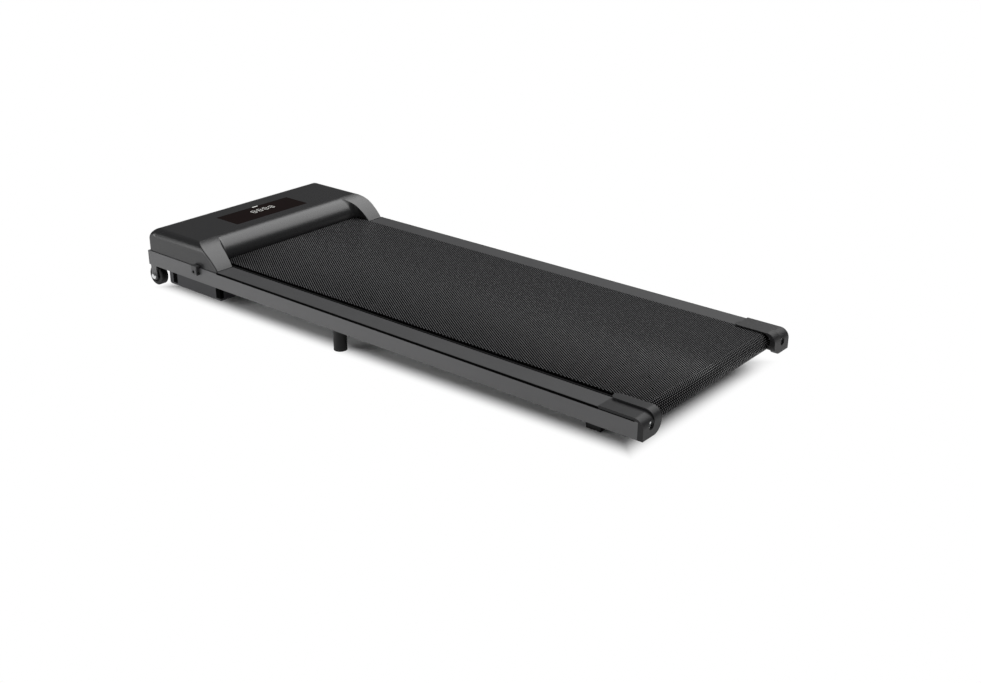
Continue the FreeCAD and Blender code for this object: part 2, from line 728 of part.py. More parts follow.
def hood_blank(inset):
    """Side outline of the hood before its wings are cut, drawn in by the inset, across its full width."""
    half = s.rail_out - s.hood_side_inset - inset
    top = s.hood_top - inset
    front = s.hood_front - inset
    bottom = s.rail_top - (s.overrun if inset else 0)
    front_radius = s.hood_front_radius - inset
    middle = math.sqrt(0.5) * front_radius
    rear = wing_y(s.rail_top + s.foot_rail_rise, inset)

    def at(y, z):
        return FreeCAD.Vector(-half, y, z)

    outline = face_of([
        Part.LineSegment(at(rear, bottom), at(front, bottom)),
        Part.LineSegment(at(front, bottom), at(front, top - front_radius)),
        Part.Arc(at(front, top - front_radius), at(front - front_radius + middle, top - front_radius + middle),
                 at(front - front_radius, top)),
        Part.LineSegment(at(front - front_radius, top), at(rear, top)),
        Part.LineSegment(at(rear, top), at(rear, bottom))])
    return outline.extrude(FreeCAD.Vector(2 * half, 0, 0))


def wing_y(z, inset):
    """Place along the arc on which the wings come down to the foot rails."""
    return wing_centre_y - math.sqrt((wing_radius - inset) ** 2 - (z - wing_centre_z) ** 2)


def wing_cut(inset):
    """Space over the wings, from the crown of their arc to behind the hood."""
    reach = 4 * s.rail_out
    crown = wing_centre_z + wing_radius - inset
    half_way = (crown + s.rail_top) / 2

    def at(y, z):
        return FreeCAD.Vector(-reach / 2, y, z)

    foot = at(wing_y(s.rail_top, inset), s.rail_top)
    over_foot = at(foot.y, crown)
    crown_point = at(wing_centre_y, crown)
    return face_of([
        Part.Arc(crown_point, at(wing_y(half_way, inset), half_way), foot),
        Part.LineSegment(foot, over_foot),
        Part.LineSegment(over_foot, crown_point)]).extrude(FreeCAD.Vector(reach, 0, 0))


def on_wing_rim(edge):
    """Whether an edge of the hood runs round the wings' cut, above their feet."""
    points = [edge.valueAt(parameter) for parameter in (edge.FirstParameter, edge.LastParameter)]
    return edge.BoundBox.ZMax > s.rail_top + s.foot_rail_rise + s.running_gap and all(
        abs(math.hypot(point.y - wing_centre_y, point.z - wing_centre_z) - wing_radius) < s.running_gap
        for point in points)


def rounded_hood(name, inset):
    """The blank with rounded side edges that fade down the front, cut along the wings."""
    blank = hood_blank(inset)
    full = s.hood_edge_radius - inset
    corner = max(s.hood_corner_radius - inset, s.running_gap)
    edges = []
    for number, edge in enumerate(blank.Edges, start=1):
        box = edge.BoundBox
        if box.XLength > s.running_gap or box.ZMax < s.rail_top + s.overrun or box.YMax < s.wing_top_y:
            continue
        radii = []
        for parameter in (edge.FirstParameter, edge.LastParameter):
            low = edge.valueAt(parameter).z < s.hood_top - s.hood_front_radius - inset + s.running_gap
            radii.append(corner if low else full)
        edges.append((number, *radii))
    base = solid(name + "_blank", blank)
    fillet = document.addObject("Part::Fillet", name + "_rounding")
    fillet.Base = base
    fillet.Edges = edges
    document.recompute()
    return fillet.Shape.cut(wing_cut(inset))


def roll_recess(inset):
    """Space behind the roll and between the wings, with its inner corners blended."""
    radius = s.roll_radius - inset
    top = s.hood_top + s.roll_radius
    rear = s.wing_base_y - s.overrun
    front = s.roll_y + s.overrun
    reach = 4 * s.rail_out
    tangent = math.sqrt(0.5) * radius

    def at(y, z):
        return FreeCAD.Vector(-reach / 2, y, z)

    behind = face_of([
        Part.LineSegment(at(rear, s.rail_bottom), at(s.roll_y - radius, s.rail_bottom)),
        Part.LineSegment(at(s.roll_y - radius, s.rail_bottom), at(s.roll_y - radius, s.roll_z)),
        Part.Arc(
            at(s.roll_y - radius, s.roll_z), at(s.roll_y - tangent, s.roll_z + tangent),
            at(s.roll_y, s.roll_z + radius)),
        Part.LineSegment(at(s.roll_y, s.roll_z + radius), at(front, s.roll_z + radius)),
        Part.LineSegment(at(front, s.roll_z + radius), at(front, top)),
        Part.LineSegment(at(front, top), at(rear, top)),
        Part.LineSegment(at(rear, top), at(rear, s.rail_bottom))]).extrude(FreeCAD.Vector(reach, 0, 0))
    foot_half = s.foot_rail_in + inset
    top_half = s.rail_out - s.roll_end_inset + inset
    lean = (foot_half - top_half) / (s.roll_y - s.wing_base_y)
    rear_half = foot_half + lean * s.overrun
    front_half = foot_half - lean * (front - s.wing_base_y)
    plan = polygon_face([
        FreeCAD.Vector(-rear_half, rear, s.rail_bottom), FreeCAD.Vector(rear_half, rear, s.rail_bottom),
        FreeCAD.Vector(front_half, front, s.rail_bottom), FreeCAD.Vector(-front_half, front, s.rail_bottom)])
    recess = behind.common(plan.extrude(FreeCAD.Vector(0, 0, top - s.rail_bottom)))
    blend = [
        edge for edge in recess.Edges
        if edge.BoundBox.YMin > s.roll_y - radius - s.running_gap and edge.BoundBox.XLength < s.roll_radius
        and edge.BoundBox.ZMax < top - s.running_gap and edge.BoundBox.YMax < front + s.running_gap
        and not (edge.BoundBox.YMin > front - s.running_gap)]
    return recess.makeFillet(s.roll_blend_radius + inset, blend)


def centred_box(width, depth, height, x, y, z):
    """Box centred on x and z that runs back from y."""
    return Part.makeBox(width, depth, height, FreeCAD.Vector(x - width / 2, y - depth, z - height / 2))


def hood_shell():
    outside = rounded_hood("hood_outside", 0)
    outside = outside.makeFillet(s.wing_edge_radius, [edge for edge in outside.Edges if on_wing_rim(edge)])
    shell = outside.cut(roll_recess(0))
    cavity = rounded_hood("hood_inside", s.hood_wall).cut(roll_recess(s.hood_wall))
    belt_half = s.belt_edge + s.hood_belt_gap
    belt_end = s.front_axle_y + s.roller_radius + s.belt_thickness + s.hood_belt_gap
    belt_mouth = Part.makeBox(
        2 * belt_half, belt_end - s.wing_base_y + s.overrun, roll_bottom - s.rail_bottom,
        FreeCAD.Vector(-belt_half, s.wing_base_y - s.overrun, s.rail_bottom))
    skirt_half = s.rail_in - s.skirt_gap
    skirt = Part.makeBox(
        2 * skirt_half, s.hood_wall, s.rail_height - s.skirt_rise,
        FreeCAD.Vector(-skirt_half, s.hood_front - s.hood_wall, s.rail_bottom + s.skirt_rise))
    shell = shell.cut(cavity.fuse(belt_mouth)).fuse(skirt).removeSplitter()
    lens_width = s.display_width + 2 * s.display_fit
    lens_depth = s.display_depth + 2 * s.display_fit
    seat_z = s.hood_top - s.display_thickness + s.display_proud
    lens_seat = Part.makeBox(
        lens_width, lens_depth, s.overrun,
        FreeCAD.Vector(-lens_width / 2, s.lens_rear_y - s.display_fit, seat_z))
    window = Part.makeBox(
        s.display_width - 2 * s.display_ledge, s.display_depth - 2 * s.display_ledge, 2 * s.overrun,
        FreeCAD.Vector(s.display_ledge - s.display_width / 2, s.lens_rear_y + s.display_ledge,
                       s.hood_top - s.overrun))
    through = 2 * s.hood_wall
    face_y = s.hood_front + s.hood_wall / 2
    inlet_hole = centred_box(
        s.inlet_width + 2 * s.display_fit, through, s.inlet_height + 2 * s.display_fit,
        s.inlet_centre_x, face_y, s.inlet_z)
    rocker_hole = centred_box(
        s.rocker_width + 2 * (s.rocker_bezel + s.display_fit), through,
        s.rocker_height + 2 * (s.rocker_bezel + s.display_fit), s.rocker_x, face_y, s.inlet_z)
    reset_hole = Part.makeCylinder(
        s.reset_barrel_radius + s.display_fit, through,
        FreeCAD.Vector(s.reset_x, face_y - through, s.inlet_z), FreeCAD.Vector(0, 1, 0))
    return shell.cut(lens_seat.multiFuse([window])).cut(inlet_hole.multiFuse([rocker_hole, reset_hole]))


keep(solid("hood", hood_shell()), "hood_cover")

# Display lens in its seat, with the board that lights it below
keep(block(
    "lens", ("-display_width / 2", "display_width"), ("lens_rear_y", "display_depth"),
    ("hood_top + display_proud - display_thickness", "display_thickness")), "display_window")
keep(block(
    "led_board", ("-display_width / 2", "display_width"), ("lens_rear_y", "display_depth"),
    ("hood_top - hood_wall - board_thickness", "board_thickness")), "display_board")


# Turned pieces: outlines of (distance along X, radius) points, revolved about their own axis
def turned(points, y, z, bore):
    outline = [FreeCAD.Vector(x, 0, radius) for x, radius in points]
    outline += [FreeCAD.Vector(points[-1][0], 0, bore), FreeCAD.Vector(points[0][0], 0, bore)]
    shape = polygon_face(outline).revolve(FreeCAD.Vector(0, 0, 0), FreeCAD.Vector(1, 0, 0), 360)
    shape.translate(FreeCAD.Vector(0, y, z))
    return shape


def pulley_points(start, radius):
    """Flat pulley between two flanges."""
    rim = radius + s.pulley_flange
    end = start + s.pulley_width
    return [
        (start, rim), (start + s.pulley_flange_width, rim), (start + s.pulley_flange_width, radius),
        (end - s.pulley_flange_width, radius), (end - s.pulley_flange_width, rim), (end, rim)]


hub = [(s.roller_end, s.roller_radius - s.roller_wall / 2), (s.pulley_x, s.roller_radius - s.roller_wall / 2)]
keep(solid("roller_pulley", turned(
    hub + pulley_points(s.pulley_x, s.roller_pulley_radius), s.front_axle_y, s.axle_z,
    s.axle_radius + s.running_gap)), "front_roller_pulley")
keep(solid("motor_pulley_rim", turned(
    pulley_points(s.pulley_x, s.motor_pulley_radius), s.motor_y, s.axle_z,
    s.motor_shaft_radius + s.bearing_fit)), "motor_pulley")

# Motor: a can between two stepped end bells, held in two ring clamps
bell_radius = s.motor_radius - s.end_bell_step
keep(solid("motor_can", turned(
    [(s.motor_start, bell_radius), (s.motor_start + s.end_bell_length, bell_radius),
     (s.motor_start + s.end_bell_length, s.motor_radius), (s.motor_end - s.end_bell_length, s.motor_radius),
     (s.motor_end - s.end_bell_length, bell_radius), (s.motor_end, bell_radius)],
    s.motor_y, s.axle_z, s.motor_shaft_radius + s.running_gap)), "motor_body")
keep(rod(
    "motor_spindle", "motor_shaft_radius", "motor_length + motor_end_gap + pulley_width",
    "motor_start", "motor_y", "axle_z", ABOUT_X), "motor_shaft")


def mount_plate():
    thickness = s.mount_plate_thickness
    floor = s.plate_top - thickness
    tab = s.rail_out - s.pan_side_inset - s.pan_wall - s.mount_tab_gap
    wall = s.rail_in + thickness
    half = [
        (tab, s.rail_bottom - thickness), (tab, s.rail_bottom), (s.rail_in, s.rail_bottom),
        (s.rail_in, s.plate_top)]
    low = [(wall, floor), (wall, s.rail_bottom - thickness)]
    outline = low + half + [(-x, z) for x, z in reversed(low + half)]
    start = s.motor_y - s.mount_plate_depth / 2
    section = polygon_face([FreeCAD.Vector(x, start, z) for x, z in outline])
    return section.extrude(FreeCAD.Vector(0, s.mount_plate_depth, 0))


keep(solid("bent_plate", mount_plate()), "motor_mount_plate")
motor_middle = (s.motor_start + s.motor_end) / 2
motor_space = Part.makeCylinder(
    s.motor_radius, 2 * s.motor_length, FreeCAD.Vector(motor_middle - s.motor_length, s.motor_y, s.axle_z),
    FreeCAD.Vector(1, 0, 0))
cradles = []
cradle_reach = s.motor_length / 2 - s.end_bell_length - s.cradle_end_gap - s.cradle_width / 2
for offset in (-cradle_reach, cradle_reach):
    start_x = motor_middle + offset - s.cradle_width / 2
    stand = Part.makeBox(
        s.cradle_width, 2 * s.cradle_half_width, s.axle_z - s.cradle_half_width / 2 - s.plate_top,
        FreeCAD.Vector(start_x, s.motor_y - s.cradle_half_width, s.plate_top))
    clamp = Part.makeCylinder(
        s.motor_radius + s.mount_plate_thickness, s.cradle_width, FreeCAD.Vector(start_x, s.motor_y, s.axle_z),
        FreeCAD.Vector(1, 0, 0))
    cradles.append(stand.fuse(clamp).cut(motor_space))
keep(solid("cradle_pair", Part.makeCompound(cradles)), "motor_cradle")

# Controller on posts on the mount plate, with its finned heat sink and two capacitors
keep(block(
    "controller", ("controller_x", "controller_width"), ("controller_y", "controller_depth"),
    ("plate_top + post_height", "board_thickness")), "controller_board")
posts = [
    rod(f"post_{number}", "post_radius", "post_height", f"controller_x + {x}", f"controller_y + {y}",
        "plate_top")
    for number, (x, y) in enumerate(
        [(x, y) for x in ("post_inset", "controller_width - post_inset")
         for y in ("post_inset", "controller_depth - post_inset")], start=1)]
keep(grouped("post_set", posts), "controller_posts")
sink_base = block(
    "sink_base", ("controller_x + heat_sink_inset", "heat_sink_width"),
    ("motor_y - heat_sink_depth / 2", "heat_sink_depth"), ("board_top", "heat_sink_base"))
FIN_COUNT = 7
fins = [
    block(
        f"fin_{number}",
        (f"controller_x + heat_sink_inset + {number} * (heat_sink_width - fin_thickness) / {FIN_COUNT - 1}",
         "fin_thickness"),
        ("motor_y - heat_sink_depth / 2", "heat_sink_depth"), ("board_top", "heat_sink_height"))
    for number in range(FIN_COUNT)]
keep(joined("finned_sink", [sink_base] + fins), "heat_sink")
cans = [
    rod(f"can_{number}", "capacitor_radius", "capacitor_height",
        "controller_x + controller_width - capacitor_inset", f"motor_y + {step} * capacitor_spacing / 2",
        "board_top")
    for number, step in enumerate((-1, 1), start=1)]
keep(grouped("can_pair", cans), "controller_capacitors")


# Belly pan under the motor bay, with cooling slots and black bumper strips near its four corners
VENT_STEPS = range(-4, 5)


def belly_pan():
    half = s.rail_out - s.pan_side_inset
    rear = s.pan_front_y - s.pan_length
    height = s.rail_bottom - s.pan_bottom

    def tray(inset, low, top):
        box = Part.makeBox(
            2 * (half - inset), s.pan_length - 2 * inset, top - low,
            FreeCAD.Vector(inset - half, rear + inset, low))
        rims = [edge for edge in box.Edges if edge.BoundBox.ZMax < low + s.running_gap]
        return box.makeFillet(s.pan_corner_radius - inset, rims)

    open_tray = tray(0, s.pan_bottom, s.pan_bottom + height).cut(
        tray(s.pan_wall, s.pan_bottom + s.pan_wall, s.rail_bottom + s.overrun))
    return open_tray.cut(vent_slots())


def vent_slots():
    """Row of cooling slots through the pan's floor under the motor."""
    middle_x = (s.motor_start + s.motor_end - s.vent_width) / 2
    start_y = s.pan_front_y - (s.pan_length + s.vent_length) / 2
    return Part.makeCompound([
        Part.makeBox(
            s.vent_width, s.vent_length, s.pan_wall + 2 * s.overrun,
            FreeCAD.Vector(middle_x + step * s.vent_pitch, start_y, s.pan_bottom - s.overrun))
        for step in VENT_STEPS])


def pan_bumper(side, front_end):
    """Black strip on the side wall of the pan, wrapped round the corner at the rear end."""
    half = s.rail_out - s.pan_side_inset
    low = s.rail_bottom - s.bumper_reach
    if front_end:
        start = s.pan_front_y - s.bumper_front_inset - s.bumper_length
        strip = Part.makeBox(
            s.bumper_proud, s.bumper_length, s.bumper_reach, FreeCAD.Vector(half, start, low))
    else:
        rear = s.pan_front_y - s.pan_length
        around = Part.makeBox(
            s.bumper_return + s.bumper_proud, s.bumper_length + s.bumper_proud, s.bumper_reach,
            FreeCAD.Vector(half - s.bumper_return, rear - s.bumper_proud, low))
        strip = around.cut(Part.makeBox(
            s.bumper_return, s.bumper_length, s.bumper_reach, FreeCAD.Vector(half - s.bumper_return, rear, low)))
    return mirrored(strip, side)


keep(solid("pan", belly_pan()), "belly_pan")
keep(solid("bumper_set", Part.makeCompound(
    [pan_bumper(side, end) for side in (-1, 1) for end in (False, True)])), "pan_bumpers")


# Hood clips screwed to the rail sides across the seam
def hood_clip():
    clip_y = s.front_y - s.clip_front_inset - s.clip_length
    rise = s.clip_top_rise - s.clip_bottom_rise
    clip = Part.makeBox(
        s.clip_reach, s.clip_length, rise,
        FreeCAD.Vector(s.rail_out, clip_y, s.rail_bottom + s.clip_bottom_rise))
    outer = [edge for edge in clip.Edges if edge.BoundBox.XMin > s.rail_out + s.clip_reach - s.running_gap]
    pocket = Part.makeBox(
        s.clip_reach - s.clip_wall, s.clip_pocket, rise - 2 * s.clip_wall,
        FreeCAD.Vector(s.rail_out, clip_y, s.rail_bottom + s.clip_bottom_rise + s.clip_wall))
    clip = clip.makeFillet(s.clip_radius, outer).cut(pocket)
    hole = Part.makeCylinder(
        s.clip_hole_radius, s.clip_hole_depth + s.overrun,
        clip_hole_bottom(), FreeCAD.Vector(1, 0, 0))
    return clip.cut(hole)


def clip_hole_bottom():
    return FreeCAD.Vector(
        s.rail_out + s.clip_reach - s.clip_hole_depth, s.front_y - s.clip_front_inset - s.clip_length / 2,
        s.rail_bottom + s.rail_height - (s.rail_height - s.clip_bottom_rise) / 2)


clip_screw = Part.makeCylinder(
    s.clip_screw_radius, s.clip_hole_depth / 2, clip_hole_bottom(), FreeCAD.Vector(1, 0, 0))
for side_name, side in SIDES.items():
    keep(solid(side_name + "_clip", mirrored(hood_clip(), side)), "hood_clip_" + side_name)
keep(solid("clip_screw_pair", Part.makeCompound(
    [mirrored(clip_screw, side) for side in (-1, 1)])), "hood_clip_screws")

# Transport wheels between ears under the front of the rails
wheel_out = s.rail_out - s.ear_thickness - s.wheel_side_gap
wheel_in = wheel_out - s.wheel_width
ear_in = wheel_in - s.wheel_side_gap - s.ear_thickness


def transport_wheel():
    """Solid tyre with a dished hub on both faces."""
    hub_radius = (s.wheel_rim_radius + s.wheel_bore_radius) / 2
    dish_in = wheel_in + s.wheel_dish
    dish_out = wheel_out - s.wheel_dish
    chamfer = s.wheel_dish / 2
    points = [
        (wheel_in, hub_radius), (dish_in, hub_radius), (dish_in, s.wheel_rim_radius),
        (wheel_in, s.wheel_rim_radius), (wheel_in, s.wheel_radius - chamfer),
        (wheel_in + chamfer, s.wheel_radius),
        (wheel_out - chamfer, s.wheel_radius), (wheel_out, s.wheel_radius - chamfer),
        (wheel_out, s.wheel_rim_radius), (dish_out, s.wheel_rim_radius), (dish_out, hub_radius),
        (wheel_out, hub_radius)]
    return turned(points, s.wheel_y, s.wheel_radius, s.wheel_bore_radius)


def wheel_ear(x):
    """Strap that hangs from the rail and ends in a half round about the bolt."""
    half = s.ear_width / 2

    def at(y, z):
        return FreeCAD.Vector(x, s.wheel_y + y, z)

    outline = face_of([
        Part.LineSegment(at(-half, s.rail_bottom), at(-half, s.wheel_radius)),
        Part.Arc(at(-half, s.wheel_radius), at(0, s.wheel_radius - s.ear_below_axle), at(half, s.wheel_radius)),
        Part.LineSegment(at(half, s.wheel_radius), at(half, s.rail_bottom)),
        Part.LineSegment(at(half, s.rail_bottom), at(-half, s.rail_bottom))])
    hole = Part.makeCylinder(
        s.wheel_bolt_radius + s.bearing_fit, s.ear_thickness + 2 * s.overrun,
        FreeCAD.Vector(x - s.overrun, s.wheel_y, s.wheel_radius), FreeCAD.Vector(1, 0, 0))
    return outline.extrude(FreeCAD.Vector(s.ear_thickness, 0, 0)).cut(hole)


def wheel_bolt():
    """Bolt from outside with a chamfered head, and its nut inboard of the inner ear."""
    chamfer = s.wheel_bolt_head / 2
    head_end = s.rail_out + s.wheel_bolt_head
    points = [
        (ear_in - s.wheel_bolt_head, s.wheel_bolt_head_radius), (ear_in, s.wheel_bolt_head_radius),
        (ear_in, s.wheel_bolt_radius), (s.rail_out, s.wheel_bolt_radius),
        (s.rail_out, s.wheel_bolt_head_radius), (head_end - chamfer, s.wheel_bolt_head_radius),
        (head_end, s.wheel_bolt_head_radius - chamfer)]
    return turned(points, s.wheel_y, s.wheel_radius, 0)


def rear_foot(name, side):
    """Rubber block under the rear plate, tapered down to the floor."""
    foot = document.addObject("Part::Wedge", name)
    for edge, formula in (
            ("Xmin", "rear_foot_taper - rear_foot_width / 2"),
            ("Xmax", "rear_foot_width / 2 - rear_foot_taper"),
            ("Zmin", "rear_foot_taper - rear_foot_length / 2"),
            ("Zmax", "rear_foot_length / 2 - rear_foot_taper"),
            ("X2min", "-rear_foot_width / 2"), ("X2max", "rear_foot_width / 2"),
            ("Z2min", "-rear_foot_length / 2"), ("Z2max", "rear_foot_length / 2"),
            ("Ymin", "0"), ("Ymax", "rail_bottom - rear_plate_thickness")):
        foot.setExpression(edge, bound(formula))
    foot.Placement.Rotation = UPRIGHT
    return place(foot, f"{side} * (rail_out - rear_foot_inset)", "rear_y + rear_foot_setback")


ears = Part.makeCompound([wheel_ear(s.rail_out - s.ear_thickness), wheel_ear(ear_in)])
for side_name, side in SIDES.items():
    keep(solid(side_name + "_ears", mirrored(ears, side)), "wheel_bracket_" + side_name)
    keep(solid(side_name + "_tyre", mirrored(transport_wheel(), side)), "transport_wheel_" + side_name)
    keep(solid(side_name + "_bolt_and_nut", mirrored(wheel_bolt(), side)), "wheel_bolt_" + side_name)
    keep(rod(
        side_name + "_mid_post", "mid_foot_radius", "rail_bottom", f"{side} * (rail_in + mid_foot_radius)",
        "front_y - mid_foot_inset"), "mid_foot_" + side_name)
    keep(rear_foot(side_name + "_rear_block", side), "rear_foot_" + side_name)


# Mains side, in the front face of the hood: inlet, rocker switch and overload reset
def power_inlet():
    flange = centred_box(
        s.inlet_width + 2 * s.inlet_flange, s.inlet_flange_thickness, s.inlet_height + 2 * s.inlet_flange,
        s.inlet_centre_x, s.hood_front + s.inlet_flange_thickness, s.inlet_z)
    barrel = centred_box(
        s.inlet_width, s.inlet_depth, s.inlet_height, s.inlet_centre_x,
        s.hood_front + s.inlet_flange_thickness, s.inlet_z)
    mouth_depth = s.inlet_depth - s.inlet_wall
    mouth = centred_box(
        s.inlet_width - 2 * s.inlet_wall, mouth_depth + s.overrun, s.inlet_height - 2 * s.inlet_wall,
        s.inlet_centre_x, s.hood_front + s.inlet_flange_thickness + s.overrun, s.inlet_z)
    shell = flange.fuse(barrel).cut(mouth)
    floor_y = s.hood_front + s.inlet_flange_thickness - mouth_depth
    pins = [
        centred_box(
            s.pin_width, s.pin_length, s.pin_height,
            s.inlet_centre_x + step * s.pin_spacing, floor_y + s.pin_length,
            s.inlet_z + (s.pin_height / 2 if step == 0 else -s.pin_height / 2))
        for step in (-1, 0, 1)]
    return shell.multiFuse(pins).removeSplitter()


def rocker_shape():
    """Half disc with a shallow V front, tipped to its off position."""
    radius = s.rocker_height / 2
    tilt = math.radians(s.rocker_tilt)
    x = s.rocker_x - s.rocker_width / 2 + s.rocker_gap

    def at(y, z):
        return FreeCAD.Vector(x, s.hood_front + y, s.inlet_z + z)

    tip_y = radius * math.sin(tilt)
    tip_z = radius * math.cos(tilt)
    outline = face_of([
        Part.LineSegment(at(tip_y, tip_z), at(0, 0)),
        Part.LineSegment(at(0, 0), at(tip_y, -tip_z)),
        Part.Arc(at(tip_y, -tip_z), at(-radius, 0), at(tip_y, tip_z))])
    rocker = outline.extrude(FreeCAD.Vector(s.rocker_width - 2 * s.rocker_gap, 0, 0))
    rocker.rotate(FreeCAD.Vector(x, s.hood_front, s.inlet_z), FreeCAD.Vector(1, 0, 0), -s.rocker_tilt)
    return rocker


def rocker_housing():
    outer = centred_box(
        s.rocker_width + 2 * s.rocker_bezel, s.rocker_depth + s.rocker_bezel,
        s.rocker_height + 2 * s.rocker_bezel, s.rocker_x, s.hood_front + s.rocker_bezel, s.inlet_z)
    well_depth = s.rocker_height / 2 + s.rocker_gap + 2 * s.rocker_bezel
    well = centred_box(
        s.rocker_width, well_depth, s.rocker_height + 2 * s.rocker_gap, s.rocker_x,
        s.hood_front + 2 * s.rocker_bezel, s.inlet_z)
    return outer.cut(well)


keep(solid("inlet", power_inlet()), "power_inlet")
keep(solid("switch_housing", rocker_housing()), "power_switch_housing")
keep(solid("switch_rocker", rocker_shape()), "power_switch_rocker")
reset_barrel = rod(
    "reset_barrel", "reset_barrel_radius", "reset_depth", "reset_x",
    "hood_front + rocker_bezel - reset_depth", "inlet_z", ABOUT_Y)
reset_bore = rod(
    "reset_bore", "reset_radius + running_gap", "reset_depth", "reset_x",
    "hood_front + 2 * rocker_bezel - reset_depth", "inlet_z", ABOUT_Y)
keep(cut("reset_sleeve", reset_barrel, reset_bore), "overload_reset_body")
keep(rod(
    "reset_plunger", "reset_radius", "reset_depth - 2 * rocker_bezel - 2 * reset_travel + reset_proud",
    "reset_x", "hood_front + 2 * rocker_bezel - reset_depth + 2 * reset_travel", "inlet_z", ABOUT_Y),
    "overload_reset_button")

document.recompute()
faults = []
for node in nodes:
    broken = node.Shape.isNull() or not node.Shape.isValid() or not node.Shape.Solids
    if broken or "Invalid" in node.State or "Error" in node.State:
        faults.append(node.Label)
if faults:
    raise RuntimeError("not built: " + ", ".join(faults))
os.makedirs("parts", exist_ok=True)
for node in nodes:
    node.Shape.exportStep(f"parts/{node.Label}.step")
print(f"{len(nodes)} nodes written")
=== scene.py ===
# Walking pad: finishes, belt cover, black strips of painted gap shade and lit display on the
# imported model
import bpy
import bmesh
import math
from mathutils import Matrix, Vector


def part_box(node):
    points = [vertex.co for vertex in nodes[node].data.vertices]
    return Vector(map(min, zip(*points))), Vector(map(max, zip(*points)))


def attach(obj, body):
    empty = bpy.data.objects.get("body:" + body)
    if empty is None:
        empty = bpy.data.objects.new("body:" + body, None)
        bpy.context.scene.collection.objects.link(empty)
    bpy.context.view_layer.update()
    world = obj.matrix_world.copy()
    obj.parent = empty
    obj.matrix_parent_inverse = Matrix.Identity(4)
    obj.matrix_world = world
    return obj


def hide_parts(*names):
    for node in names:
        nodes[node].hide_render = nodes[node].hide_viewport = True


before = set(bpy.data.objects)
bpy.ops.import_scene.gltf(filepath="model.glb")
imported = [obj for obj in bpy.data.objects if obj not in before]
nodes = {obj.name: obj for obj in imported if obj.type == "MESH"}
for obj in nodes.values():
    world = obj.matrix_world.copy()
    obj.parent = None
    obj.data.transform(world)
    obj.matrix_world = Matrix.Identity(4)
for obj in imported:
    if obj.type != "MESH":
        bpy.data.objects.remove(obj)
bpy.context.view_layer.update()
scene = bpy.context.scene
scene.view_settings.view_transform = "Standard"
mm = 0.001  # the scene is in metres
print("frame loaded:", len(nodes), "nodes")


def linear(hexColour):
    # sRGB hex to the linear colour that shaders take
    parts = [int(hexColour[i:i + 2], 16) / 255 for i in (1, 3, 5)]
    return [p / 12.92 if p <= 0.04045 else ((p + 0.055) / 1.055) ** 2.4 for p in parts] + [1.0]


def addNode(tree, kind, inputs=None, **settings):
    # one node with its settings; an input is a socket to link or a value to set
    node = tree.nodes.new(kind)
    for key, value in settings.items():
        setattr(node, key, value)
    for key, value in (inputs or {}).items():
        if isinstance(value, bpy.types.NodeSocket):
            tree.links.new(value, node.inputs[key])
        else:
            node.inputs[key].default_value = value
    return node


def newMaterial(name):
    material = bpy.data.materials.new(name)
    material.use_nodes = True
    tree = material.node_tree
    tree.nodes.clear()
    return material, tree, tree.nodes.new("ShaderNodeOutputMaterial")


def finishNode(nodeNames, material):
    for name in nodeNames:
        nodes[name].data.materials.clear()
        nodes[name].data.materials.append(material)


def newPiece(name, shape, material):
    mesh = bpy.data.meshes.new(name)
    shape.to_mesh(mesh)
    shape.free()
    mesh.materials.append(material)
    piece = bpy.data.objects.new(name, mesh)
    scene.collection.objects.link(piece)
    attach(piece, "frame")
    return piece


# camera fitted to the rail, hood and cap edges of the photograph (981 x 683); place in metres
view = {
    "place": (-1.654, -1.4833, 0.927),
    "forward": (0.7076, 0.5833, -0.3988),
    "right": (0.6378, -0.7702, 0.005),
    "focalPixels": 1256,
    "frameWidthPixels": 981,
    "sensorMm": 36,
}


def makeCamera():
    data = bpy.data.cameras.new("camera")
    data.sensor_width = view["sensorMm"]
    data.lens = view["focalPixels"] * view["sensorMm"] / view["frameWidthPixels"]
    camera = bpy.data.objects.new("camera", data)
    scene.collection.objects.link(camera)
    back = -Vector(view["forward"]).normalized()
    right = Vector(view["right"])
    right = (right - right.dot(back) * back).normalized()
    up = back.cross(right)
    turn = Matrix((right, up, back)).transposed().to_4x4()
    camera.matrix_world = Matrix.Translation(view["place"]) @ turn
    scene.camera = camera


makeCamera()
print("camera placed")

# studio, in metres and watts: white floor, a wide key softbox over the right side, one overhead,
# a low fill by the front left, a dim room; the shade values bound the lit part of the floor
studio = {
    "floorSize": 14,
    "floorDrop": 0.0005,
    "paperColour": "#f2f2f2",
    "shadeFrom": -0.043,
    "shadeTo": 0.009,
    "shadeEndInset": 0.022,
    "shadeSideInset": 0.006,
    "shadeShift": 0.02,
    "shadeTaper": 0.019,
    "plainWhite": 1.0,
    "roomLevel": 0.12,
    "keyFrom": (0.68, -0.09, 0.728),
    "keyDistance": 12,
    "keySize": (13.2, 7.6),
    "keyWatts": 1175,
    "topFrom": (0, 0, 1),
    "topDistance": 2.4,
    "topSize": (2.4, 2.4),
    "topWatts": 28,
    "fillFrom": (-0.8, 0.55, 0.2),
    "fillDistance": 2.2,
    "fillSize": (1.4, 0.9),
    "fillWatts": 18,
}


